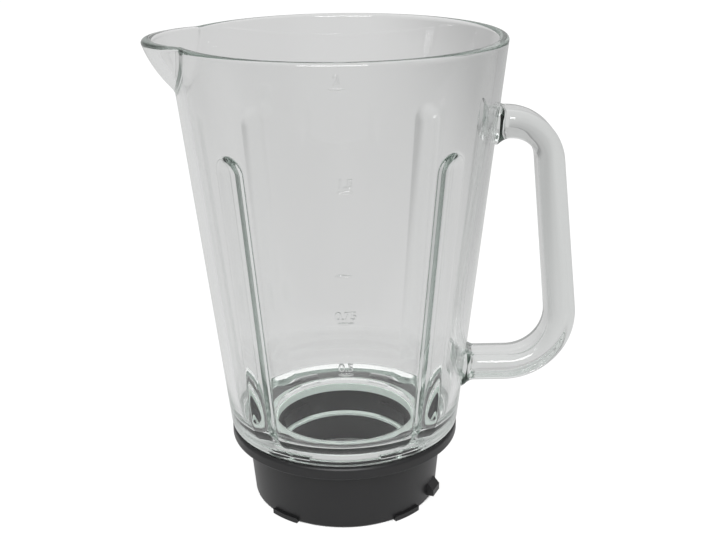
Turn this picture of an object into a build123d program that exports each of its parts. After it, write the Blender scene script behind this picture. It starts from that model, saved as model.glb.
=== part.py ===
"""Blender jar: a pressed-glass jug on a moulded plastic base collar, in millimetres.

+Z is up along the jug's axis and the origin is the centre of the collar's open foot.
+X points to the handle, -X to the pouring lip.
"""
import math
import os

from build123d import *

# Heights
COLLAR_H = 37.0  # flange top above the foot
GLASS_GAP = 0.8  # the gasket holds the glass this far above the flange
RIM_Z = 220.3  # rim of the jug above the foot

# Base collar
FOOT_R = 44.4  # skirt outside at the foot
SKIRT_TOP_R = 47.1  # skirt outside under the flange
FLANGE_R = 54.4
FLANGE_T = 6.0
SKIRT_BORE_R = 40.8  # hollow that goes over the motor base
FOOT_ROUND = 1.2
FLANGE_TOP_ROUND = 2.0
FLANGE_FOOT_ROUND = 0.8
DECK_T = 3.2  # plate between the well and the skirt
WELL_R = 32.5
WELL_WALL = 2.6
SHELF_TOP = 21.6
SHELF_T = 2.6
SHELF_BORE_R = 28.9  # the cutter unit's hub passes here
LEDGE_DEPTH = 1.6  # bayonet ledges in the well
LEDGE_H = 6.0
LEDGE_ARC = 39.0
LEDGE_Z = 24.4
LEDGE_AT = 34.5  # off the handle's line, mirrored to all four quarters
LUG_R = 45.9  # bayonet lugs at the foot
LUG_H = 2.4
LUG_ARC = 18.6
LUG_AT = 50.4
CAM_AT = -25.0  # locking cam, off the handle's line
CAM_OUT = 3.8
CAM_H = 7.4
CAM_FACE_H = 3.2  # upright part of its outside
CAM_W = 8.0
CAM_FOOT_Z = 3.5

# Keys that stop the jug turning on the collar
KEY_GAP = 2.7  # from the gasket's seat outwards
KEY_W = 3.5
KEY_H = 1.2
KEY_ARC = 23.0
KEY_AT = 58.5
KEY_CLEAR = 0.3

# Seals
GASKET_W = 4.5  # ring that carries the glass
GASKET_H = 3.8
SEAL_T = 1.2
SEAL_CLEAR = 0.3

# Glass jug
GLASS_FOOT_R = 54.6  # outside, at the bottom face
RIM_R = 74.0  # outside, at the rim
WALL = 4.2
FLOOR_T = 2.7
FLOOR_ROUND = 11.0
FOOT_EDGE_ROUND = 1.0
HOLE_CLEAR = 0.9  # the hole in the floor is this much wider than the well
HOLE_ROUND = 0.8
LIP_ROUND = 1.7
RIB_R = 10.0  # inner ribs: part of a round bar sunk in the wall
RIB_PROUD = 4.0
RIB_TOP_Z = 171.5
RIB_AT = 47.0

# Pouring lip at three levels: how far below the rim, how far past the wall, and half-width
SPOUT_DROP = (23.3, 12.3, 0.0)
SPOUT_OUT = (-0.15, 7.6, 11.8)
SPOUT_HALF = (29.5, 35.5, 38.6)
SPOUT_ROUND = 5.0

# Handle, in the plane through the axis
HANDLE_W = 21.0
HANDLE_TOP = 187.5
HANDLE_FOOT = 56.9
HANDLE_OUT_TOP = 97.9  # outside line met at the top and at the foot
HANDLE_OUT_FOOT = 113.1
HANDLE_CORNER_TOP = 26.0
HANDLE_CORNER_FOOT = 33.0
ARM_TOP_T = 13.1
ARM_FOOT_T = 13.0
GRIP_TOP_T = 10.6
GRIP_FOOT_T = 15.1
FINGER_CORNER_TOP = 12.0
FINGER_CORNER_FOOT = 18.0
ROOT_ROUND = 2.5

GLASS_Z = COLLAR_H + GLASS_GAP
GASKET_Z = GLASS_Z - GASKET_H
FLOOR_Z = GLASS_Z + FLOOR_T
TAPER = (RIM_R - GLASS_FOOT_R) / (RIM_Z - GLASS_Z)
DECK_Z = COLLAR_H - FLANGE_T
GASKET_R = WELL_R + SEAL_CLEAR + GASKET_W
HOLE_R = WELL_R + HOLE_CLEAR
KEY_IN_R = GASKET_R + KEY_GAP
SPOUT_Z = [RIM_Z - drop for drop in SPOUT_DROP]
SPOUT_REACH = [GLASS_FOOT_R + TAPER * (z - GLASS_Z) + out for z, out in zip(SPOUT_Z, SPOUT_OUT)]
HANDLE_ROUND = 0.45 * GRIP_TOP_T
FINGER_ROOT_X = GLASS_FOOT_R - WALL / 2
HANDLE_ROOT_X = FINGER_ROOT_X - 3 * HANDLE_ROUND


def turned(*points):
    """Solid turned about Z from (radius, height) corners."""
    outline = Polyline(*[(r, 0, z) for r, z in points], close=True)
    return revolve(make_face(outline), axis=Axis.Z)


def arc_bar(inner, outer, bottom, height, arc, at):
    """Part of a ring, `arc` degrees long, centred on the angle `at`."""
    ring = Cylinder(outer, height) - Cylinder(inner, height)
    reach = outer * 1.5
    half = math.radians(arc / 2)
    far = (reach * math.cos(half), reach * math.sin(half))
    slice_face = make_face(Polyline((0, 0), far, (reach * 1.5, 0), (far[0], -far[1]), close=True))
    wedge = extrude(slice_face, height / 2, both=True)
    return Rot(0, 0, at) * Pos(0, 0, bottom + height / 2) * (ring & wedge)


def four_ways(angle):
    """The angle mirrored about the handle's line and across it."""
    return (angle, -angle, 180 - angle, angle - 180)


def outside_r(z):
    """Outside radius of the jug's wall at a height."""
    return GLASS_FOOT_R + TAPER * (z - GLASS_Z)


def inside_r(z):
    """Inside radius of the jug's wall at a height."""
    return outside_r(z) - WALL


def circle_at(reach, half, z):
    """Round section of the pouring lip that reaches out along -X."""
    return Pos(half - reach, 0, z) * Circle(half)


def rounded_corners(face, foot_r, top_r):
    """Round the two corners of an outline that lie furthest out."""
    foot, top = face.vertices().sort_by(Axis.X)[2:].sort_by(Axis.Y)
    face = fillet(foot, foot_r)
    return fillet(face.vertices().sort_by_distance(top)[0], top_r)


def handle():
    """Solid D handle, its root run into the body."""
    outer = make_face(Polyline(
        (HANDLE_ROOT_X, HANDLE_FOOT), (HANDLE_OUT_FOOT, HANDLE_FOOT),
        (HANDLE_OUT_TOP, HANDLE_TOP), (HANDLE_ROOT_X, HANDLE_TOP), close=True))
    finger_foot = HANDLE_FOOT + ARM_FOOT_T
    finger_top = HANDLE_TOP - ARM_TOP_T
    gap = make_face(Polyline(
        (FINGER_ROOT_X, finger_foot), (HANDLE_OUT_FOOT - GRIP_FOOT_T, finger_foot),
        (HANDLE_OUT_TOP - GRIP_TOP_T, finger_top), (FINGER_ROOT_X, finger_top), close=True))
    outer = rounded_corners(outer, HANDLE_CORNER_FOOT, HANDLE_CORNER_TOP)
    gap = rounded_corners(gap, FINGER_CORNER_FOOT, FINGER_CORNER_TOP)
    solid = extrude(Plane.XZ * (outer - gap), HANDLE_W / 2, both=True)
    sides = solid.edges().filter_by_position(Axis.Y, HANDLE_W / 2, HANDLE_W / 2)
    sides += solid.edges().filter_by_position(Axis.Y, -HANDLE_W / 2, -HANDLE_W / 2)
    return fillet(sides, HANDLE_ROUND)


def crease(solid):
    """Edge where the pouring lip leaves the round body."""
    def rises(edge):
        box = edge.bounding_box()
        return box.min.Z > SPOUT_Z[0] - WALL and box.size.Z > WALL and edge.center().X < 0
    return solid.edges().filter_by(rises)


def on_outside_wall(edge):
    """True for an edge that runs in the jug's outside wall round the handle."""
    points = (edge @ 0, edge @ 0.5, edge @ 1)
    near = all(abs(math.hypot(p.X, p.Y) - outside_r(p.Z)) < 0.02 for p in points)
    return near and edge.center().X > 0 and edge.geom_type != GeomType.LINE


def outside_body():
    """Jug with its pouring lip and handle, before it is hollowed."""
    body = turned((0, GLASS_Z), (GLASS_FOOT_R, GLASS_Z), (RIM_R, RIM_Z), (0, RIM_Z))
    lip = loft([circle_at(*row) for row in zip(SPOUT_REACH, SPOUT_HALF, SPOUT_Z)])
    body = body + lip
    body = fillet(crease(body), SPOUT_ROUND)
    foot_edge = body.edges().filter_by_position(Axis.Z, GLASS_Z, GLASS_Z).sort_by(SortBy.LENGTH)[-1]
    body = fillet(foot_edge, FOOT_EDGE_ROUND)
    body = body + handle()
    roots = body.edges().filter_by_position(Axis.Z, HANDLE_FOOT - 1, HANDLE_TOP + 1)
    return fillet(roots.filter_by(on_outside_wall), ROOT_ROUND)


def rib(at):
    """Round bar with a domed top, sunk in the wall so that only its crest stands inside."""
    sink = RIB_R - RIB_PROUD
    low = FLOOR_Z - FLOOR_ROUND
    foot = Vector(inside_r(low) + sink, 0, low)
    top = Vector(inside_r(RIB_TOP_Z) + sink, 0, RIB_TOP_Z)
    run = top - foot
    bar = Cylinder(RIB_R, run.length, align=(Align.CENTER, Align.CENTER, Align.MIN))
    bar = Plane(origin=foot, z_dir=run) * bar + Pos(*top) * Sphere(RIB_R)
    return Rot(0, 0, at) * bar


def cavity():
    """Everything that is hollow above the floor, open past the rim."""
    over = RIM_Z + WALL
    hollow = turned((0, FLOOR_Z), (inside_r(FLOOR_Z), FLOOR_Z), (inside_r(over), over), (0, over))
    hollow = fillet(hollow.edges().group_by(Axis.Z)[0], FLOOR_ROUND)
    heights = (SPOUT_Z[0] + WALL / 2, SPOUT_Z[1] + WALL / 4, over)
    reach = [r - WALL for r in SPOUT_REACH]
    half = [h - WALL for h in SPOUT_HALF]
    hollow = hollow + loft([circle_at(*row) for row in zip(reach, half, heights)])
    hollow = fillet(crease(hollow), SPOUT_ROUND)
    for at in four_ways(RIB_AT):
        hollow = hollow - rib(at)
    return hollow


def key(at, bottom, height, clear=0.0):
    """Curved key on the flange, or with a clearance the slot it stands in."""
    arc = KEY_ARC + 2 * math.degrees(clear / KEY_IN_R)
    return arc_bar(KEY_IN_R - clear, KEY_IN_R + KEY_W + clear, bottom, height, arc, at)


def glass_jug():
    """Pressed-glass jug in one piece."""
    glass = outside_body() - cavity()
    rim = glass.edges().filter_by_position(Axis.Z, RIM_Z, RIM_Z)
    glass = fillet(rim, LIP_ROUND)
    glass = glass - Pos(0, 0, FLOOR_Z) * Cylinder(HOLE_R, 3 * FLOOR_T)
    hole = glass.edges().filter_by_position(Axis.Z, FLOOR_Z, FLOOR_Z).sort_by(SortBy.RADIUS)[0]
    glass = fillet(hole, HOLE_ROUND)
    for at in four_ways(KEY_AT):
        glass = glass - key(at, COLLAR_H, KEY_H + KEY_CLEAR, KEY_CLEAR)
    return glass


def cam():
    """Locking cam on the skirt, widest at its foot."""
    root = FOOT_R - WELL_WALL / 2
    outline = make_face(Polyline(
        (root, CAM_FOOT_Z), (FOOT_R + CAM_OUT, CAM_FOOT_Z),
        (FOOT_R + CAM_OUT, CAM_FOOT_Z + CAM_FACE_H), (FOOT_R, CAM_FOOT_Z + CAM_H),
        (root, CAM_FOOT_Z + CAM_H), close=True))
    return Rot(0, 0, CAM_AT) * extrude(Plane.XZ * outline, CAM_W / 2, both=True)


def base_collar():
    """Moulded collar with flange, skirt, well, ledges, lugs, keys and cam."""
    seat_r = GASKET_R + SEAL_CLEAR
    deck_foot = GASKET_Z - DECK_T
    shelf_foot = SHELF_TOP - SHELF_T
    well_out = WELL_R + WELL_WALL
    collar = turned(
        (FOOT_R, 0), (SKIRT_TOP_R, DECK_Z), (FLANGE_R, DECK_Z), (FLANGE_R, COLLAR_H),
        (seat_r, COLLAR_H), (seat_r, GASKET_Z), (WELL_R, GASKET_Z), (WELL_R, SHELF_TOP),
        (SHELF_BORE_R, SHELF_TOP), (SHELF_BORE_R, shelf_foot), (well_out, shelf_foot),
        (well_out, deck_foot), (SKIRT_BORE_R, deck_foot), (SKIRT_BORE_R, 0))
    foot_edge = collar.edges().filter_by_position(Axis.Z, 0, 0).sort_by(SortBy.RADIUS)[-1]
    collar = fillet(foot_edge, FOOT_ROUND)
    top_edge = collar.edges().filter_by_position(Axis.Z, COLLAR_H, COLLAR_H).sort_by(SortBy.RADIUS)[-1]
    collar = fillet(top_edge, FLANGE_TOP_ROUND)
    low_edge = collar.edges().filter_by_position(Axis.Z, DECK_Z, DECK_Z).sort_by(SortBy.RADIUS)[-1]
    collar = fillet(low_edge, FLANGE_FOOT_ROUND)
    ledge_in = WELL_R - LEDGE_DEPTH
    for at in four_ways(LEDGE_AT):
        collar = collar + arc_bar(ledge_in, WELL_R + WELL_WALL / 2, LEDGE_Z, LEDGE_H, LEDGE_ARC, at)
    for at in four_ways(LUG_AT):
        collar = collar + arc_bar(FOOT_R - WELL_WALL, LUG_R, 0, LUG_H, LUG_ARC, at)
    for at in four_ways(KEY_AT):
        collar = collar + key(at, COLLAR_H - DECK_T / 2, KEY_H + DECK_T / 2)
    return collar + cam()


def jug_gasket():
    """Soft ring round the well's mouth that carries the glass."""
    ring = Cylinder(GASKET_R, GASKET_H) - Cylinder(WELL_R + SEAL_CLEAR, GASKET_H)
    return Pos(0, 0, GASKET_Z + GASKET_H / 2) * ring


def cutter_seal():
    """Soft ring that lies on the well's shelf."""
    ring = Cylinder(WELL_R - SEAL_CLEAR, SEAL_T) - Cylinder(SHELF_BORE_R + SEAL_CLEAR, SEAL_T)
    return Pos(0, 0, SHELF_TOP + SEAL_T / 2) * ring


os.makedirs("parts", exist_ok=True)
export_step(glass_jug(), "parts/glass_jug.step")
export_step(base_collar(), "parts/base_collar.step")
export_step(jug_gasket(), "parts/jug_gasket.step")
export_step(cutter_seal(), "parts/cutter_seal.step")
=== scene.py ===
"""Dressed scene of a clear glass blender jar that stands on a dark plastic base collar.

Sizes are written in millimetres, as on a drawing, and turned into metres where meshes are made.
"""
from __future__ import annotations

import logging
import math
from dataclasses import dataclass, field
from enum import Enum
from typing import Callable, Iterable

import bmesh
import bpy
from mathutils import Matrix, Vector

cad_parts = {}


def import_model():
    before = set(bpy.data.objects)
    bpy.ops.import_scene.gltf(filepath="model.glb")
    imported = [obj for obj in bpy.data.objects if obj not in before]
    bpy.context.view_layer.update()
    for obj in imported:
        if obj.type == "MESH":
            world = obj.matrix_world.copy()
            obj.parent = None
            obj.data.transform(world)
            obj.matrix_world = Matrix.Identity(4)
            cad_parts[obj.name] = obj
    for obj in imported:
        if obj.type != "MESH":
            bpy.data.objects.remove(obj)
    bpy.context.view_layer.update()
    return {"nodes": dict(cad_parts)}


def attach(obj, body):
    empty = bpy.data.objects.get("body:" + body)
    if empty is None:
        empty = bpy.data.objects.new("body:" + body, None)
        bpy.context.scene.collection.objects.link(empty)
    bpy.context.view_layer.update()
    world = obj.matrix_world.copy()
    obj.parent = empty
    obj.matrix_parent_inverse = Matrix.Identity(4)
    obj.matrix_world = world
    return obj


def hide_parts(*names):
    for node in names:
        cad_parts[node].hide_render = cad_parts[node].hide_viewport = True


LOG = logging.getLogger("blender_jar")
MM = 0.001
BODY = "root"
SHARP_DEG = 35.0

Pair = tuple[float, float]
Triple = tuple[float, float, float]
Profile = Callable[[float], float]


class Ray(Enum):
    """Light Path outputs that the studio tells apart."""

    CAMERA = "Is Camera Ray"
    GLOSSY = "Is Glossy Ray"
    TRANSMISSION = "Is Transmission Ray"


class Slot(Enum):
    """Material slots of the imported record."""

    GLASS = "glass"


def linear(hex_colour: str) -> tuple[float, float, float, float]:
    """Turn an sRGB hex colour into linear RGBA.

    Args:
        hex_colour: Colour such as "#2b2b2c".

    Returns:
        Linear red, green, blue and an alpha of one.
    """
    parts = [int(hex_colour[i:i + 2], 16) / 255.0 for i in (1, 3, 5)]
    done = [c / 12.92 if c <= 0.04045 else ((c + 0.055) / 1.055) ** 2.4 for c in parts]
    return (done[0], done[1], done[2], 1.0)


def add_node(tree: bpy.types.NodeTree, kind: str, **values: object) -> bpy.types.Node:
    """Add a shader node and set its inputs or properties.

    Args:
        tree: Node tree that takes the node.
        kind: Blender's node type name.
        **values: Input names with "_" for spaces, or property names.

    Returns:
        The new node.
    """
    node = tree.nodes.new(kind)
    for name, value in values.items():
        socket = node.inputs.get(name.replace("_", " "))
        if socket is not None:
            socket.default_value = value
        else:
            setattr(node, name, value)
    return node


def new_material(name: str) -> tuple[bpy.types.Material, bpy.types.Node, bpy.types.Node]:
    """Make an empty node material.

    Args:
        name: Name of the real material.

    Returns:
        The material, its Principled shader and its output node.
    """
    material = bpy.data.materials.new(name)
    material.use_nodes = True
    tree = material.node_tree
    tree.nodes.clear()
    output = add_node(tree, "ShaderNodeOutputMaterial")
    shader = add_node(tree, "ShaderNodeBsdfPrincipled")
    tree.links.new(shader.outputs["BSDF"], output.inputs["Surface"])
    return material, shader, output


def add_bump(material: bpy.types.Material, shader: bpy.types.Node, size_mm: float,
             depth_mm: float, strength: float, detail: float) -> bpy.types.Node:
    """Give a shader a noise bump whose scale is set from real sizes.

    Args:
        material: Material that holds the shader.
        shader: Shader that takes the bump.
        size_mm: Size of one grain or ripple.
        depth_mm: Depth of the relief.
        strength: Bump strength.
        detail: Noise detail.

    Returns:
        The noise node, for other uses of the same pattern.
    """
    tree = material.node_tree
    place = add_node(tree, "ShaderNodeTexCoord")
    noise = add_node(tree, "ShaderNodeTexNoise", Scale=1.0 / (size_mm * MM), Detail=detail)
    bump = add_node(tree, "ShaderNodeBump", Strength=strength, Distance=depth_mm * MM)
    tree.links.new(place.outputs["Object"], noise.inputs["Vector"])
    tree.links.new(noise.outputs["Fac"], bump.inputs["Height"])
    tree.links.new(bump.outputs["Normal"], shader.inputs["Normal"])
    return noise


@dataclass(frozen=True)
class GlassFinish:
    """Clear pressed glass, grey-green where it is thick."""

    tint: str = "#fcfcfc"
    thick_tint: str = "#6f9a86"
    absorption: float = 4.8
    ior: float = 1.5
    ripple_mm: float = 45.0
    ripple_depth_mm: float = 0.05
    ripple_strength: float = 0.15
    ripple_detail: float = 1.0

    def build(self) -> bpy.types.Material:
        """Make the glass.

        Returns:
            The finished material.
        """
        material, shader, output = new_material("pressed_glass")
        tree = material.node_tree
        shader.inputs["Base Color"].default_value = linear(self.tint)
        shader.inputs["Roughness"].default_value = 0.0
        shader.inputs["IOR"].default_value = self.ior
        shader.inputs["Transmission Weight"].default_value = 1.0
        add_bump(material, shader, self.ripple_mm, self.ripple_depth_mm, self.ripple_strength,
                 self.ripple_detail)
        volume = add_node(tree, "ShaderNodeVolumeAbsorption", Density=self.absorption)
        volume.inputs["Color"].default_value = linear(self.thick_tint)
        tree.links.new(volume.outputs["Volume"], output.inputs["Volume"])
        return material


@dataclass(frozen=True)
class MouldedFinish:
    """Moulded plastic or rubber with a fine grain and a little unevenness of colour."""

    name: str
    colour: str
    worn: str
    roughness: float
    specular: float
    grain_mm: float
    grain_depth_mm: float
    grain_strength: float = 0.25
    grain_detail: float = 3.0
    cloud_mm: float = 18.0
    cloud_detail: float = 2.0
    rough_spread: float = 0.05

    def build(self) -> bpy.types.Material:
        """Make the moulded material.

        Returns:
            The finished material.
        """
        material, shader, _ = new_material(self.name)
        tree = material.node_tree
        shader.inputs["Specular IOR Level"].default_value = self.specular
        noise = add_bump(material, shader, self.grain_mm, self.grain_depth_mm,
                         self.grain_strength, self.grain_detail)
        cloud = add_node(tree, "ShaderNodeTexNoise", Scale=1.0 / (self.cloud_mm * MM),
                         Detail=self.cloud_detail)
        place = next(n for n in tree.nodes if n.type == "TEX_COORD")
        tree.links.new(place.outputs["Object"], cloud.inputs["Vector"])
        ramp = add_node(tree, "ShaderNodeValToRGB")
        ramp.color_ramp.elements[0].color = linear(self.colour)
        ramp.color_ramp.elements[1].color = linear(self.worn)
        tree.links.new(cloud.outputs["Fac"], ramp.inputs["Fac"])
        tree.links.new(ramp.outputs["Color"], shader.inputs["Base Color"])
        spread = add_node(tree, "ShaderNodeMapRange")
        spread.inputs["To Min"].default_value = self.roughness - self.rough_spread
        spread.inputs["To Max"].default_value = self.roughness + self.rough_spread
        tree.links.new(noise.outputs["Fac"], spread.inputs["Value"])
        tree.links.new(spread.outputs["Result"], shader.inputs["Roughness"])
        return material


COLLAR_FINISH = MouldedFinish(
    name="dark_grey_plastic", colour="#141415", worn="#181819", roughness=0.39, specular=0.42,
    grain_mm=0.35, grain_depth_mm=0.008)
RUBBER_FINISH = MouldedFinish(
    name="pale_rubber", colour="#e8f6ee", worn="#eefaf3", roughness=0.5, specular=0.4,
    grain_mm=0.5, grain_depth_mm=0.02)


def soft_max(a: float, b: float, blend: float) -> float:
    """Larger of two numbers, with the corner between them rounded.

    Args:
        a: First number.
        b: Second number.
        blend: Width of the rounding.

    Returns:
        The rounded maximum.
    """
    h = max(blend - abs(a - b), 0.0)
    return max(a, b) + h * h / (4.0 * blend)


def soft_min(a: float, b: float, blend: float) -> float:
    """Smaller of two numbers, with the corner between them rounded.

    Args:
        a: First number.
        b: Second number.
        blend: Width of the rounding.

    Returns:
        The rounded minimum.
    """
    return -soft_max(-a, -b, blend)


def steps(start: float, end: float, pitch: float) -> list[float]:
    """Even steps from start towards end, without the end itself.

    Args:
        start: First value.
        end: Value that the steps run up to.
        pitch: Largest step.

    Returns:
        The values.
    """
    count = max(1, math.ceil(abs(end - start) / pitch))
    return [start + (end - start) * i / count for i in range(count)]


def arc(cx: float, cz: float, radius: float, start: float, end: float, count: int) -> list[Pair]:
    """Points on a circular arc.

    Args:
        cx: Centre, first coordinate.
        cz: Centre, second coordinate.
        radius: Radius.
        start: Start angle in degrees.
        end: End angle in degrees.
        count: Number of steps.

    Returns:
        Points from start to end, both included.
    """
    turn = [math.radians(start + (end - start) * i / count) for i in range(count + 1)]
    return [(cx + radius * math.cos(t), cz + radius * math.sin(t)) for t in turn]


def between(start: Pair, end: Pair, count: int, numbers: range) -> list[Pair]:
    """Points on the straight line from start to end.

    Args:
        start: First end of the line.
        end: Second end of the line.
        count: Number of steps in the whole line.
        numbers: Which steps to give.

    Returns:
        The points.
    """
    return [tuple(a + (b - a) * i / count for a, b in zip(start, end)) for i in numbers]


def smooth(data: bpy.types.Mesh) -> None:
    """Shade a mesh smooth, apart from its sharp edges.

    Args:
        data: Mesh to shade.
    """
    data.shade_smooth()
    data.set_sharp_from_angle(angle=math.radians(SHARP_DEG))


def mesh_object(name: str, mesh: bmesh.types.BMesh, material: bpy.types.Material,
                slot: Slot) -> bpy.types.Object:
    """Turn a bmesh into a smooth-shaded piece that rides on the jar.

    Args:
        name: Piece name.
        mesh: Geometry in metres; it is freed here.
        material: Finish.
        slot: Record slot of the finish; not used.

    Returns:
        The linked object.
    """
    bmesh.ops.recalc_face_normals(mesh, faces=mesh.faces)
    data = bpy.data.meshes.new(name)
    mesh.to_mesh(data)
    mesh.free()
    smooth(data)
    data.materials.append(material)
    piece = bpy.data.objects.new(name, data)
    bpy.context.scene.collection.objects.link(piece)
    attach(piece, BODY)
    return piece


def close_rings(mesh: bmesh.types.BMesh, rings: list[list[bmesh.types.BMVert]],
                loop: bool) -> None:
    """Skin a run of closed rings of equal length.

    Args:
        mesh: Mesh that holds the rings.
        rings: Rings in order.
        loop: True when the last ring joins the first one.
    """
    pairs = list(zip(rings, rings[1:]))
    if loop:
        pairs.append((rings[-1], rings[0]))
    for one, two in pairs:
        count = len(one)
        for i in range(count):
            j = (i + 1) % count
            mesh.faces.new((one[i], one[j], two[j], two[i]))


@dataclass(frozen=True)
class PouringLip:
    """Round channel pulled out of the rim along -X."""

    reach: Triple = (71.4, 80.3, 85.8)
    half: Triple = (29.5, 35.5, 38.6)
    heights: Triple = (197.0, 208.0, 220.3)

    def _through(self, values: Triple, z: float) -> float:
        """Parabola through the three sections.

        Args:
            values: Value at each of the three heights.
            z: Height.

        Returns:
            The value at the height.
        """
        a, b, c = self.heights
        u, v, w = values
        return (u * (z - b) * (z - c) / ((a - b) * (a - c))
                + v * (z - a) * (z - c) / ((b - a) * (b - c))
                + w * (z - a) * (z - b) / ((c - a) * (c - b)))

    def radius(self, z: float, off: float, inset: float, lift: float) -> float:
        """Distance of the lip's surface from the jug's axis.

        Args:
            z: Height.
            off: Angle off the lip's middle, in radians.
            inset: How far the surface lies inside the outer one.
            lift: How much higher the inner surface starts.

        Returns:
            The radius, or zero where the lip has no surface.
        """
        z = z - lift
        if z < self.heights[0]:
            return 0.0
        half = self._through(self.half, z) - inset
        centre = self._through(self.reach, z) - inset - half
        side = centre * math.sin(off)
        if abs(off) > math.pi / 2 or abs(side) >= half:
            return 0.0
        return centre * math.cos(off) + math.sqrt(half * half - side * side)


@dataclass(frozen=True)
class InnerRibs:
    """Wide round ribs inside the wall, with domed tops."""

    at_deg: tuple[float, ...] = (47.0, -47.0, 133.0, -133.0)
    radius: float = 10.5
    proud: float = 3.2
    top: float = 171.5
    blend: float = 1.0
    near_rad: float = 0.5

    def limit(self, wall: float, z: float, angle: float) -> float:
        """Pull the inside wall in where a rib stands.

        Args:
            wall: Inside radius without ribs.
            z: Height.
            angle: Angle round the axis in radians.

        Returns:
            Inside radius with ribs.
        """
        rise = max(z - self.top, 0.0)
        if rise >= self.radius:
            return wall
        radius = math.sqrt(self.radius * self.radius - rise * rise)
        centre = wall + self.radius - self.proud
        for at in self.at_deg:
            off = math.remainder(angle - math.radians(at), math.tau)
            side = centre * math.sin(off)
            if abs(off) < self.near_rad and abs(side) < radius:
                crest = centre * math.cos(off) - math.sqrt(radius * radius - side * side)
                return soft_min(wall, crest, self.blend)
        return wall


@dataclass(frozen=True)
class LoopHandle:
    """Solid glass handle between two arms, in the plane through the axis."""

    width: float = 21.0
    round: float = 4.8
    top: float = 187.5
    foot: float = 56.9
    out_top: float = 97.9
    out_foot: float = 113.1
    corner_top: float = 26.0
    corner_foot: float = 33.0
    finger_top: float = 174.4
    finger_foot: float = 69.9
    finger_out_top: float = 87.3
    finger_out_foot: float = 98.0
    finger_corner_top: float = 12.0
    finger_corner_foot: float = 18.0
    flare: float = 2.2
    flare_run: float = 5.0
    bury: float = 2.1
    arm_steps: int = 16
    grip_steps: int = 24
    bend_steps: tuple[int, int] = (26, 32)
    round_steps: int = 9

    def _outline(self, root: Profile, top: float, foot: float, out_top: float, out_foot: float,
                 r_top: float, r_foot: float) -> list[Pair]:
        """One edge of the handle from its upper root to its lower root.

        Args:
            root: Radius at which the edge starts at a height.
            top: Height of the upper arm's edge.
            foot: Height of the lower arm's edge.
            out_top: Where the grip's line meets the upper edge.
            out_foot: Where the grip's line meets the lower edge.
            r_top: Upper corner radius.
            r_foot: Lower corner radius.

        Returns:
            Points in the plane, radius and height, the same count for every edge.
        """
        lean = math.degrees(math.atan2(out_foot - out_top, top - foot))
        k = math.tan(math.radians((90.0 + lean) / 2.0))
        cut_top = r_top / k
        m = math.tan(math.radians((90.0 - lean) / 2.0))
        cut_foot = r_foot / m
        bends = self.bend_steps
        upper = arc(out_top - cut_top, top - r_top, r_top, 90.0, lean, bends[0])
        lower = arc(out_foot - cut_foot, foot + r_foot, r_foot, lean, -90.0, bends[1])
        arm, hold = self.arm_steps, self.grip_steps
        run = between((root(top), top), upper[0], arm, range(arm))
        grip = between(upper[-1], lower[0], hold, range(1, hold))
        back = between(lower[-1], (root(foot), foot), arm, range(1, arm + 1))
        return run + upper + grip + lower + back

    def build(self, outside: Profile) -> bmesh.types.BMesh:
        """Sweep the rounded section round the loop.

        Args:
            outside: Outside radius of the jug at a height.

        Returns:
            Closed mesh in metres.
        """
        def root(z: float) -> float:
            """Radius at which the handle starts, a little inside the wall.

            Args:
                z: Height.

            Returns:
                The radius.
            """
            return outside(z) - self.bury

        outer = self._outline(root, self.top, self.foot, self.out_top, self.out_foot,
                              self.corner_top, self.corner_foot)
        inner = self._outline(root, self.finger_top, self.finger_foot,
                              self.finger_out_top, self.finger_out_foot,
                              self.finger_corner_top, self.finger_corner_foot)
        mesh = bmesh.new()
        rings: list[list[bmesh.types.BMVert]] = []
        for (xo, zo), (xi, zi) in zip(outer, inner):
            mid = Vector(((xo + xi) / 2, 0.0, (zo + zi) / 2))
            across = Vector((xo - xi, 0.0, zo - zi))
            gap = min(max(mid.x - outside(mid.z), 0.0) / self.flare_run, 1.0)
            grow = self.flare * (1.0 - gap) ** 2
            u = across.length / 2 + grow
            v = self.width / 2 + grow
            across.normalize()
            corners = ((1, 1, 0), (-1, 1, 90), (-1, -1, 180), (1, -1, 270))
            ring = []
            for sx, sy, start in corners:
                middle = (sx * (u - self.round), sy * (v - self.round))
                bend = arc(*middle, self.round, start, start + 90, self.round_steps)
                for a, b in bend:
                    place = mid + across * a + Vector((0.0, b, 0.0))
                    ring.append(mesh.verts.new(place * MM))
            rings.append(ring)
        close_rings(mesh, rings, loop=False)
        mesh.faces.new(rings[0])
        mesh.faces.new(rings[-1])
        bmesh.ops.recalc_face_normals(mesh, faces=mesh.faces)
        return mesh


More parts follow.
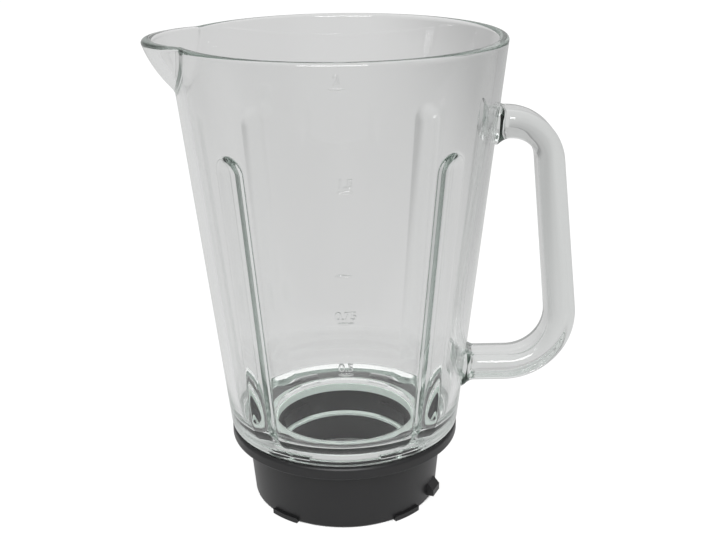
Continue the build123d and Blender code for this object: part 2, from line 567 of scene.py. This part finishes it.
@dataclass(frozen=True)
class VolumeMarks:
    """Faint raised scale on the front of the jug: short bars with generic numbers."""

    bars: tuple[tuple[float, float, str], ...] = (
        (85.6, -89.1, "0.5"), (110.2, -88.9, "0.75"), (132.1, -89.6, ""),
        (168.6, -88.7, "1.5"), (210.4, -90.9, "2"))
    bar_w: float = 6.8
    bar_h: float = 1.5
    digit_h: float = 3.7
    digit_lift: float = 1.7
    proud: float = 0.5
    sunk: float = 0.6
    soft: float = 0.3
    thin: float = -0.12
    cap_share: float = 0.7
    bevel_steps: int = 2
    curve_steps: int = 4
    bar_steps: tuple[int, int] = (24, 12)
    merge: float = 0.001

    @staticmethod
    def _wrap(verts: Iterable[bmesh.types.BMVert], at_deg: float, outside: Profile) -> None:
        """Bend a flat mark, drawn in X and Z, onto the jug's front.

        Args:
            verts: Corners in millimetres with depth along Y.
            at_deg: Angle of the mark's middle round the axis.
            outside: Outside radius of the jug at a height.
        """
        for vert in verts:
            x, y, z = vert.co
            radius = outside(z) + y
            turn = math.radians(at_deg) + x / outside(z)
            vert.co = Vector((radius * math.cos(turn), radius * math.sin(turn), z)) * MM

    def _digits(self, text: str, z: float, mesh: bmesh.types.BMesh) -> None:
        """Add raised digits above a bar.

        Args:
            text: Number to write.
            z: Height of the bar.
            mesh: Mesh that takes the digits.
        """
        curve = bpy.data.curves.new("digits", "FONT")
        curve.body = text
        curve.align_x = "CENTER"
        curve.size = self.digit_h / self.cap_share
        curve.extrude = (self.proud + self.sunk) / 2 - self.soft
        curve.bevel_depth = self.soft
        curve.bevel_resolution = self.bevel_steps
        curve.offset = self.thin
        curve.resolution_u = self.curve_steps
        helper = bpy.data.objects.new("digits", curve)
        bpy.context.scene.collection.objects.link(helper)
        graph = bpy.context.evaluated_depsgraph_get()
        flat = bpy.data.meshes.new_from_object(helper.evaluated_get(graph))
        middle = (self.proud - self.sunk) / 2
        foot = z + self.digit_lift
        upright = ((1, 0, 0, 0), (0, 0, 1, middle), (0, 1, 0, foot), (0, 0, 0, 1))
        flat.transform(Matrix(upright))
        mesh.from_mesh(flat)
        bpy.data.objects.remove(helper)
        bpy.data.curves.remove(curve)
        bpy.data.meshes.remove(flat)

    def build(self, outside: Profile) -> bmesh.types.BMesh:
        """Make the scale.

        Args:
            outside: Outside radius of the jug at a height.

        Returns:
            The marks, rooted in the wall, in metres.
        """
        mesh = bmesh.new()
        for z, at_deg, text in self.bars:
            before = set(mesh.verts)
            made = bmesh.ops.create_uvsphere(mesh, u_segments=self.bar_steps[0],
                                             v_segments=self.bar_steps[1], radius=1.0)
            verts = made["verts"]
            half = (self.bar_w / 2, self.proud, self.bar_h / 2)
            bmesh.ops.scale(mesh, vec=half, verts=verts)
            bmesh.ops.translate(mesh, vec=(0.0, 0.0, z), verts=verts)
            if text:
                self._digits(text, z, mesh)
            fresh = [v for v in mesh.verts if v not in before]
            self._wrap(fresh, at_deg, outside)
        bmesh.ops.remove_doubles(mesh, verts=mesh.verts, dist=self.merge * MM)
        bmesh.ops.recalc_face_normals(mesh, faces=mesh.faces)
        return mesh


@dataclass(frozen=True)
class GlassJug:
    """Pressed-glass jug in one piece.

    A field that ends in rows is the pitch of mesh rows, and a pair of them is outside, inside.
    """

    foot_z: float = 37.85
    foot_r: float = 54.6
    rim_z: float = 220.3
    rim_r: float = 74.0
    wall: float = 4.2
    floor_z: float = 40.5
    floor_round: float = 11.0
    foot_round: float = 1.0
    hole_r: float = 33.4
    hole_round: float = 0.8
    lip_round: float = 1.7
    crease: float = 1.2
    inner_crease: float = 0.8
    key_at_deg: tuple[float, ...] = (58.5, -58.5, 121.5, -121.5)
    key_half_deg: float = 11.9
    key_in: float = 39.7
    key_out: float = 43.8
    key_top: float = 38.5
    key_below: float = 1.0
    key_steps: int = 12
    fine_deg: float = 0.44
    coarse_deg: float = 1.0
    rib_edge_deg: float = 9.0
    rib_band_deg: float = 3.0
    lip_band_deg: float = 34.0
    lip_from: float = 190.0
    dome_span: Pair = (180.0, 164.0)
    wall_rows: Pair = (9.0, 8.0)
    lip_rows: Pair = (1.0, 1.1)
    dome_rows: float = 0.7
    floor_rows: float = 1.5
    hole_rows: float = 0.5
    sole_rows: float = 2.0
    rim_gap: float = 0.8
    bowl_gap: float = 1.0
    sole_gap: float = 0.4
    foot_steps: int = 5
    round_steps: int = 6
    bowl_steps: int = 14
    lip: PouringLip = field(default_factory=PouringLip)
    ribs: InnerRibs = field(default_factory=InnerRibs)
    handle: LoopHandle = field(default_factory=LoopHandle)
    marks: VolumeMarks = field(default_factory=VolumeMarks)

    def outside(self, z: float) -> float:
        """Outside radius of the plain wall.

        Args:
            z: Height.

        Returns:
            The radius.
        """
        rise = self.rim_z - self.foot_z
        return self.foot_r + (self.rim_r - self.foot_r) * (z - self.foot_z) / rise

    def _outer(self, z: float, angle: float) -> float:
        """Outside radius with the pouring lip.

        Args:
            z: Height.
            angle: Angle round the axis in radians.

        Returns:
            The radius.
        """
        off = math.remainder(angle - math.pi, math.tau)
        return soft_max(self.outside(z), self.lip.radius(z, off, 0.0, 0.0), self.crease)

    def _inner(self, z: float, angle: float) -> float:
        """Inside radius with pouring lip and ribs.

        Args:
            z: Height.
            angle: Angle round the axis in radians.

        Returns:
            The radius.
        """
        off = math.remainder(angle - math.pi, math.tau)
        plain = self.outside(z) - self.wall
        channel = self.lip.radius(z, off, self.wall, self.wall / 2)
        wide = soft_max(plain, channel, self.inner_crease)
        return self.ribs.limit(wide, z, angle)

    def _angles(self) -> list[float]:
        """Angles of the mesh columns, closer together at ribs and creases.

        Returns:
            Angles in radians, rising through one turn.
        """
        found: list[float] = []
        now = -180.0
        while now < 180.0:
            found.append(math.radians(now))
            near = min(abs(abs(math.remainder(now - at, 360.0)) - self.rib_edge_deg)
                       for at in self.ribs.at_deg)
            crease = abs(180.0 - abs(now)) < self.lip_band_deg
            fine = near < self.rib_band_deg or crease
            now += self.fine_deg if fine else self.coarse_deg
        return found

    def _section(self, angle: float) -> list[Pair]:
        """Closed section of the wall, floor and hole at an angle.

        Args:
            angle: Angle round the axis in radians.

        Returns:
            Radius and height, the same count at every angle.
        """
        e, q, h = self.foot_round, self.lip_round, self.hole_round
        low = self.rim_z - q
        lean = (self.rim_r - self.foot_r) / (self.rim_z - self.foot_z)
        rows = arc(self.foot_r - e, self.foot_z + e, e, -90.0, 0.0, self.foot_steps)
        up = steps(self.foot_z + 2 * e, self.lip_from, self.wall_rows[0])
        up += steps(self.lip_from, low, self.lip_rows[0])
        rows += [(self._outer(z, angle), z) for z in up]
        out_r, in_r = self._outer(low, angle), self._inner(low, angle)
        rows += arc(out_r - q, low, q, 0.0, 90.0, self.round_steps)
        rows += arc(in_r + q, low, q, 90.0, 180.0, self.round_steps)
        centre_z = self.floor_z + self.floor_round
        across = self.floor_round * math.hypot(1.0, lean)
        centre_r = self.outside(centre_z) - self.wall - across
        tilt = math.degrees(math.atan(lean))
        bowl = arc(centre_r, centre_z, self.floor_round, -tilt, -90.0, self.bowl_steps)
        dome_top, dome_foot = self.dome_span
        down = steps(low - self.rim_gap, dome_top, self.lip_rows[1])
        down += steps(dome_top, dome_foot, self.dome_rows)
        down += steps(dome_foot, bowl[0][1] + self.bowl_gap, self.wall_rows[1])
        rows += [(self._inner(z, angle), z) for z in down]
        rows += [(self.ribs.limit(r, z, angle), z) for r, z in bowl]
        level = steps(centre_r - self.bowl_gap, self.hole_r + h, self.floor_rows)
        rows += [(r, self.floor_z) for r in level]
        rows += arc(self.hole_r + h, self.floor_z - h, h, 90.0, 180.0, self.round_steps)
        bore = steps(self.floor_z - h - self.hole_rows, self.foot_z, self.hole_rows)
        rows += [(self.hole_r, z) for z in bore]
        sole = steps(self.hole_r, self.foot_r - e - self.sole_gap, self.sole_rows)
        rows += [(r, self.foot_z) for r in sole]
        return rows

    def _shell(self) -> bmesh.types.BMesh:
        """Body, pouring lip and ribs as one closed mesh.

        Returns:
            Mesh in metres.
        """
        mesh = bmesh.new()
        rings = []
        for angle in self._angles():
            c, s = math.cos(angle), math.sin(angle)
            rows = self._section(angle)
            rings.append([mesh.verts.new((r * c * MM, r * s * MM, z * MM)) for r, z in rows])
        close_rings(mesh, rings, loop=True)
        bmesh.ops.recalc_face_normals(mesh, faces=mesh.faces)
        return mesh

    def _key_slots(self) -> bmesh.types.BMesh:
        """Cutters for the slots that take the collar's keys.

        Returns:
            Mesh in metres.
        """
        mesh = bmesh.new()
        below = self.foot_z - self.key_below
        box = ((self.key_in, below), (self.key_out, below),
               (self.key_out, self.key_top), (self.key_in, self.key_top))
        wide = 2 * self.key_half_deg
        for at in self.key_at_deg:
            rings = []
            for i in range(self.key_steps + 1):
                t = math.radians(at - self.key_half_deg + wide * i / self.key_steps)
                c, s = math.cos(t), math.sin(t)
                rings.append([mesh.verts.new((r * c * MM, r * s * MM, z * MM)) for r, z in box])
            close_rings(mesh, rings, loop=False)
            mesh.faces.new(rings[0])
            mesh.faces.new(rings[-1])
        bmesh.ops.recalc_face_normals(mesh, faces=mesh.faces)
        return mesh

    def build(self, material: bpy.types.Material) -> bpy.types.Object:
        """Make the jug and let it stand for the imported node.

        Args:
            material: Glass.

        Returns:
            The jug.
        """
        jug = mesh_object("glass_jug_fine", self._shell(), material, Slot.GLASS)
        combine(jug, self.handle.build(self.outside), "UNION")
        combine(jug, self._key_slots(), "DIFFERENCE")
        combine(jug, self.marks.build(self.outside), "UNION")
        smooth(jug.data)
        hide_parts("glass_jug")
        return jug


def combine(target: bpy.types.Object, tool: bmesh.types.BMesh, operation: str) -> None:
    """Apply a boolean to a piece's mesh.

    Args:
        target: Piece that is changed.
        tool: Closed mesh in metres; it is freed here.
        operation: "UNION" or "DIFFERENCE".
    """
    data = bpy.data.meshes.new("tool")
    tool.to_mesh(data)
    tool.free()
    helper = bpy.data.objects.new("tool", data)
    bpy.context.scene.collection.objects.link(helper)
    modifier = target.modifiers.new("combine", "BOOLEAN")
    modifier.operation = operation
    modifier.solver = "EXACT"
    modifier.object = helper
    graph = bpy.context.evaluated_depsgraph_get()
    made = bpy.data.meshes.new_from_object(target.evaluated_get(graph))
    target.modifiers.remove(modifier)
    old = target.data
    materials = list(old.materials)
    target.data = made
    made.name = target.name
    made.materials.clear()
    for material in materials:
        made.materials.append(material)
    bpy.data.objects.remove(helper)
    bpy.data.meshes.remove(data)
    bpy.data.meshes.remove(old)


@dataclass(frozen=True)
class SoftBox:
    """Soft lamp, with its place and size in millimetres."""

    name: str
    place: Triple
    size: Pair
    watts: float
    shine: bool


@dataclass(frozen=True)
class Studio:
    """Pale floor, soft lights, white surround and the photograph's camera.

    Spans in the world are parts of a direction, and spans on the floor are metres.
    """

    eye: Triple = (-0.11, -495.34, 291.64)
    yaw: float = 0.0151
    pitch: float = 0.3493
    roll: float = -0.0115
    focal_px: float = 1127.8
    frame_px: tuple[int, int] = (716, 540)
    sensor_mm: float = 36.0
    clip_m: Pair = (0.02, 50.0)
    bounces: int = 128
    low_light: float = 0.2
    top_light: float = 3.0
    back_glow: float = 0.56
    front_glow: float = 0.42
    side_glow: float = 0.54
    top_glow: float = 0.7
    high_glow: float = 0.2
    sky_span: Pair = (0.1, 1.0)
    across_span: Pair = (-0.3, 0.4)
    above_span: Pair = (0.45, 0.9)
    high_span: Pair = (0.22, 0.5)
    behind_span: Pair = (0.1, 0.5)
    left_span: Pair = (-0.75, -0.35)
    right_span: Pair = (0.35, 0.75)
    paper: str = "#f4f4f4"
    # Glow of the painted pool of light that glass and gloss see on the floor.
    floor_pool_glow: float = 0.58
    floor_glow: float = 0.93
    floor_side_share: float = 0.66
    floor_far_share: Pair = (1.13, 1.06)
    floor_side_span: Pair = (0.07, 0.32)
    floor_near_span: Pair = (-0.4, -0.1)
    floor_far_span: Pair = (0.03, 0.2)
    floor_left_span: Pair = (-1.2, -0.35)
    floor_right_span: Pair = (0.4, 1.0)
    shade_r: float = 44.0
    shade_edge: float = 1.0
    floor_half: float = 6000.0
    aim: Triple = (0.0, 0.0, 110.0)
    lamps: tuple[SoftBox, ...] = (
        SoftBox("key_box", (-60.0, -880.0, 740.0), (760.0, 380.0), 8.5, True),
        SoftBox("fill_box", (900.0, -300.0, 600.0), (500.0, 900.0), 2.0, False))

    def _ray_mask(self, tree: bpy.types.NodeTree, *rays: Ray) -> bpy.types.NodeSocket:
        """Socket that is one for any of the given rays.

        Args:
            tree: Node tree.
            *rays: Rays to let through.

        Returns:
            The mask socket.
        """
        path = add_node(tree, "ShaderNodeLightPath")
        total = path.outputs[rays[0].value]
        for ray in rays[1:]:
            most = add_node(tree, "ShaderNodeMath", operation="MAXIMUM")
            tree.links.new(total, most.inputs[0])
            tree.links.new(path.outputs[ray.value], most.inputs[1])
            total = most.outputs[0]
        return total

    def _clear_view(self, tree: bpy.types.NodeTree) -> bpy.types.NodeSocket:
        """Socket that is one for rays that no matt surface has scattered.

        Args:
            tree: Node tree.

        Returns:
            The mask socket.
        """
        path = add_node(tree, "ShaderNodeLightPath")
        fresh = add_node(tree, "ShaderNodeMath", operation="LESS_THAN")
        fresh.inputs[1].default_value = 0.5
        tree.links.new(path.outputs["Diffuse Depth"], fresh.inputs[0])
        both = add_node(tree, "ShaderNodeMath", operation="MULTIPLY")
        tree.links.new(self._ray_mask(tree, Ray.GLOSSY, Ray.TRANSMISSION), both.inputs[0])
        tree.links.new(fresh.outputs[0], both.inputs[1])
        return both.outputs[0]

    def _graded(self, tree: bpy.types.NodeTree, space: str, axis: str, span: Pair,
                strength: Pair) -> bpy.types.NodeSocket:
        """Brightness that changes softly along one axis.

        Args:
            tree: Node tree.
            space: "Generated" for a direction or "Object" for a place in metres.
            axis: "X", "Y" or "Z".
            span: Where the change starts and ends.
            strength: Brightness before and after it.

        Returns:
            The brightness socket.
        """
        place = add_node(tree, "ShaderNodeTexCoord")
        split = add_node(tree, "ShaderNodeSeparateXYZ")
        spread = add_node(tree, "ShaderNodeMapRange", interpolation_type="SMOOTHSTEP")
        ends = ("From Min", "From Max", "To Min", "To Max")
        for name, value in zip(ends, (*span, *strength)):
            spread.inputs[name].default_value = value
        tree.links.new(place.outputs[space], split.inputs[0])
        tree.links.new(split.outputs[axis], spread.inputs["Value"])
        return spread.outputs["Result"]

    def _joined(self, tree: bpy.types.NodeTree, operation: str,
                *parts: bpy.types.NodeSocket) -> bpy.types.NodeSocket:
        """Join brightness sockets by one sum.

        Args:
            tree: Node tree.
            operation: Blender's name of the sum, such as "MULTIPLY".
            *parts: Sockets to join.

        Returns:
            The joined socket.
        """
        total = parts[0]
        for part in parts[1:]:
            sum_node = add_node(tree, "ShaderNodeMath", operation=operation)
            tree.links.new(total, sum_node.inputs[0])
            tree.links.new(part, sum_node.inputs[1])
            total = sum_node.outputs[0]
        return total

    def world(self) -> None:
        """White for the camera, pale grey for glass and gloss, soft light for the rest."""
        world = bpy.data.worlds.new("studio")
        bpy.context.scene.world = world
        world.use_nodes = True
        tree = world.node_tree
        tree.nodes.clear()
        output = add_node(tree, "ShaderNodeOutputWorld")
        light = add_node(tree, "ShaderNodeBackground")
        seen = add_node(tree, "ShaderNodeBackground")
        white = add_node(tree, "ShaderNodeBackground", Strength=1.0)
        for node in (light, seen, white):
            node.inputs["Color"].default_value = linear("#ffffff")
        way = "Generated"
        sky = self._graded(tree, way, "Z", self.sky_span, (self.low_light, self.top_light))
        tree.links.new(sky, light.inputs["Strength"])
        across = self._graded(tree, way, "Y", self.across_span, (self.front_glow, self.back_glow))
        above = self._graded(tree, way, "Z", self.above_span, (0.0, self.top_glow))
        high = self._graded(tree, way, "Z", self.high_span, (0.0, self.high_glow))
        behind = self._graded(tree, way, "Y", self.behind_span, (0.0, 1.0))
        upper = self._joined(tree, "MULTIPLY", high, behind)
        left = self._graded(tree, way, "X", self.left_span, (self.side_glow, 1.0))
        right = self._graded(tree, way, "X", self.right_span, (1.0, self.side_glow))
        round_about = self._joined(tree, "MULTIPLY", across, left, right)
        glow = self._joined(tree, "ADD", round_about, above, upper)
        tree.links.new(glow, seen.inputs["Strength"])
        inner = add_node(tree, "ShaderNodeMixShader")
        tree.links.new(self._clear_view(tree), inner.inputs["Fac"])
        tree.links.new(light.outputs[0], inner.inputs[1])
        tree.links.new(seen.outputs[0], inner.inputs[2])
        mix = add_node(tree, "ShaderNodeMixShader")
        tree.links.new(self._ray_mask(tree, Ray.CAMERA), mix.inputs["Fac"])
        tree.links.new(inner.outputs[0], mix.inputs[1])
        tree.links.new(white.outputs[0], mix.inputs[2])
        tree.links.new(mix.outputs[0], output.inputs["Surface"])

    def floor(self) -> None:
        """Floor that is white to the camera and keeps a soft shadow; in glass and gloss it is
        pale grey, a painted pool of light that is brighter in the middle and dimmer towards the
        sides and the front.
        """
        mesh = bmesh.new()
        bmesh.ops.create_grid(mesh, x_segments=1, y_segments=1, size=self.floor_half * MM)
        data = bpy.data.meshes.new("floor")
        mesh.to_mesh(data)
        mesh.free()
        floor = bpy.data.objects.new("floor", data)
        bpy.context.scene.collection.objects.link(floor)
        material = bpy.data.materials.new("white_paper")
        material.use_nodes = True
        tree = material.node_tree
        tree.nodes.clear()
        output = add_node(tree, "ShaderNodeOutputMaterial")
        paper = add_node(tree, "ShaderNodeBsdfDiffuse")
        paper.inputs["Color"].default_value = linear(self.paper)
        white = add_node(tree, "ShaderNodeEmission", Strength=1.0)
        # Painted pool of light: grey glow that glass and gloss see on the floor, dimmer towards
        # the sides, the front and far out.
        grey = add_node(tree, "ShaderNodeEmission")
        spot = "Object"
        dimmer = self.floor_side_share * self.floor_pool_glow
        side = self._graded(tree, spot, "X", self.floor_side_span, (self.floor_pool_glow, dimmer))
        near = self._graded(tree, spot, "Y", self.floor_near_span, (self.front_glow, 1.0))
        far = self._graded(tree, spot, "Y", self.floor_far_span, self.floor_far_share)
        left = self._graded(tree, spot, "X", self.floor_left_span, (self.side_glow, 1.0))
        right = self._graded(tree, spot, "X", self.floor_right_span, (1.0, self.side_glow))
        glow = self._joined(tree, "MULTIPLY", side, near, far, left, right)
        tree.links.new(glow, grey.inputs["Strength"])
        seen = add_node(tree, "ShaderNodeMixShader")
        tree.links.new(self._ray_mask(tree, Ray.CAMERA), seen.inputs["Fac"])
        tree.links.new(grey.outputs[0], seen.inputs[1])
        tree.links.new(white.outputs[0], seen.inputs[2])
        share = add_node(tree, "ShaderNodeMath", operation="MULTIPLY")
        mix = add_node(tree, "ShaderNodeMixShader")
        place = add_node(tree, "ShaderNodeTexCoord")
        away = add_node(tree, "ShaderNodeVectorMath", operation="LENGTH")
        lit = add_node(tree, "ShaderNodeMapRange")
        lit.inputs["From Min"].default_value = self.shade_r * MM
        lit.inputs["From Max"].default_value = (self.shade_r + self.shade_edge) * MM
        lit.inputs["To Max"].default_value = self.floor_glow
        tree.links.new(place.outputs["Object"], away.inputs[0])
        tree.links.new(away.outputs["Value"], lit.inputs["Value"])
        tree.links.new(lit.outputs["Result"], share.inputs[1])
        tree.links.new(self._ray_mask(tree, *Ray), share.inputs[0])
        tree.links.new(share.outputs[0], mix.inputs["Fac"])
        tree.links.new(paper.outputs[0], mix.inputs[1])
        tree.links.new(seen.outputs[0], mix.inputs[2])
        tree.links.new(mix.outputs[0], output.inputs["Surface"])
        data.materials.append(material)

    def lamp(self, box: SoftBox) -> None:
        """Add a soft box aimed at the jar's middle.

        Args:
            box: Lamp to add; where it shines, it shows as a highlight.
        """
        data = bpy.data.lights.new(box.name, "AREA")
        data.shape = "RECTANGLE"
        data.size, data.size_y = box.size[0] * MM, box.size[1] * MM
        data.energy = box.watts
        lamp = bpy.data.objects.new(box.name, data)
        lamp.visible_glossy = box.shine
        lamp.visible_transmission = False
        lamp.location = Vector(box.place) * MM
        aim = Vector(self.aim) * MM - lamp.location
        lamp.rotation_euler = aim.to_track_quat("-Z", "Y").to_euler()
        bpy.context.scene.collection.objects.link(lamp)

    def camera(self) -> None:
        """Camera found from the photograph's ellipses."""
        data = bpy.data.cameras.new("camera")
        data.sensor_width = self.sensor_mm
        data.lens = self.focal_px * data.sensor_width / self.frame_px[0]
        data.clip_start, data.clip_end = self.clip_m
        camera = bpy.data.objects.new("camera", data)
        sy, cy = math.sin(self.yaw), math.cos(self.yaw)
        sp, cp = math.sin(self.pitch), math.cos(self.pitch)
        ahead = Vector((sy * cp, cy * cp, -sp))
        right = Vector((cy, -sy, 0.0))
        up = right.cross(ahead)
        sr, cr = math.sin(self.roll), math.cos(self.roll)
        axes = (right * cr + up * sr, up * cr - right * sr, -ahead)
        turn = Matrix(axes).transposed().to_4x4()
        camera.matrix_world = Matrix.Translation(Vector(self.eye) * MM) @ turn
        bpy.context.scene.collection.objects.link(camera)
        bpy.context.scene.camera = camera

    def build(self) -> None:
        """Set up the whole studio."""
        scene = bpy.context.scene
        scene.view_settings.view_transform = "Standard"
        scene.cycles.max_bounces = self.bounces
        scene.cycles.glossy_bounces = self.bounces
        scene.cycles.transmission_bounces = self.bounces
        self.world()
        self.floor()
        for box in self.lamps:
            self.lamp(box)
        self.camera()


def dress(piece: bpy.types.Object, material: bpy.types.Material) -> None:
    """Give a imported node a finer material.

    Args:
        piece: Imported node.
        material: Finish.
    """
    piece.data.materials.clear()
    piece.data.materials.append(material)


def main() -> None:
    """Load the frame, dress the jar and set up the studio."""
    logging.basicConfig(level=logging.INFO, format="%(name)s: %(message)s")
    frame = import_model()
    nodes = frame["nodes"]
    glass = GlassFinish().build()
    collar = COLLAR_FINISH.build()
    pale = RUBBER_FINISH.build()
    jug = GlassJug().build(glass)
    LOG.info("jug faces: %d", len(jug.data.polygons))
    dress(nodes["base_collar"], collar)
    dress(nodes["jug_gasket"], pale)
    dress(nodes["cutter_seal"], pale)
    Studio().build()


if __name__ == "__main__":
    main()
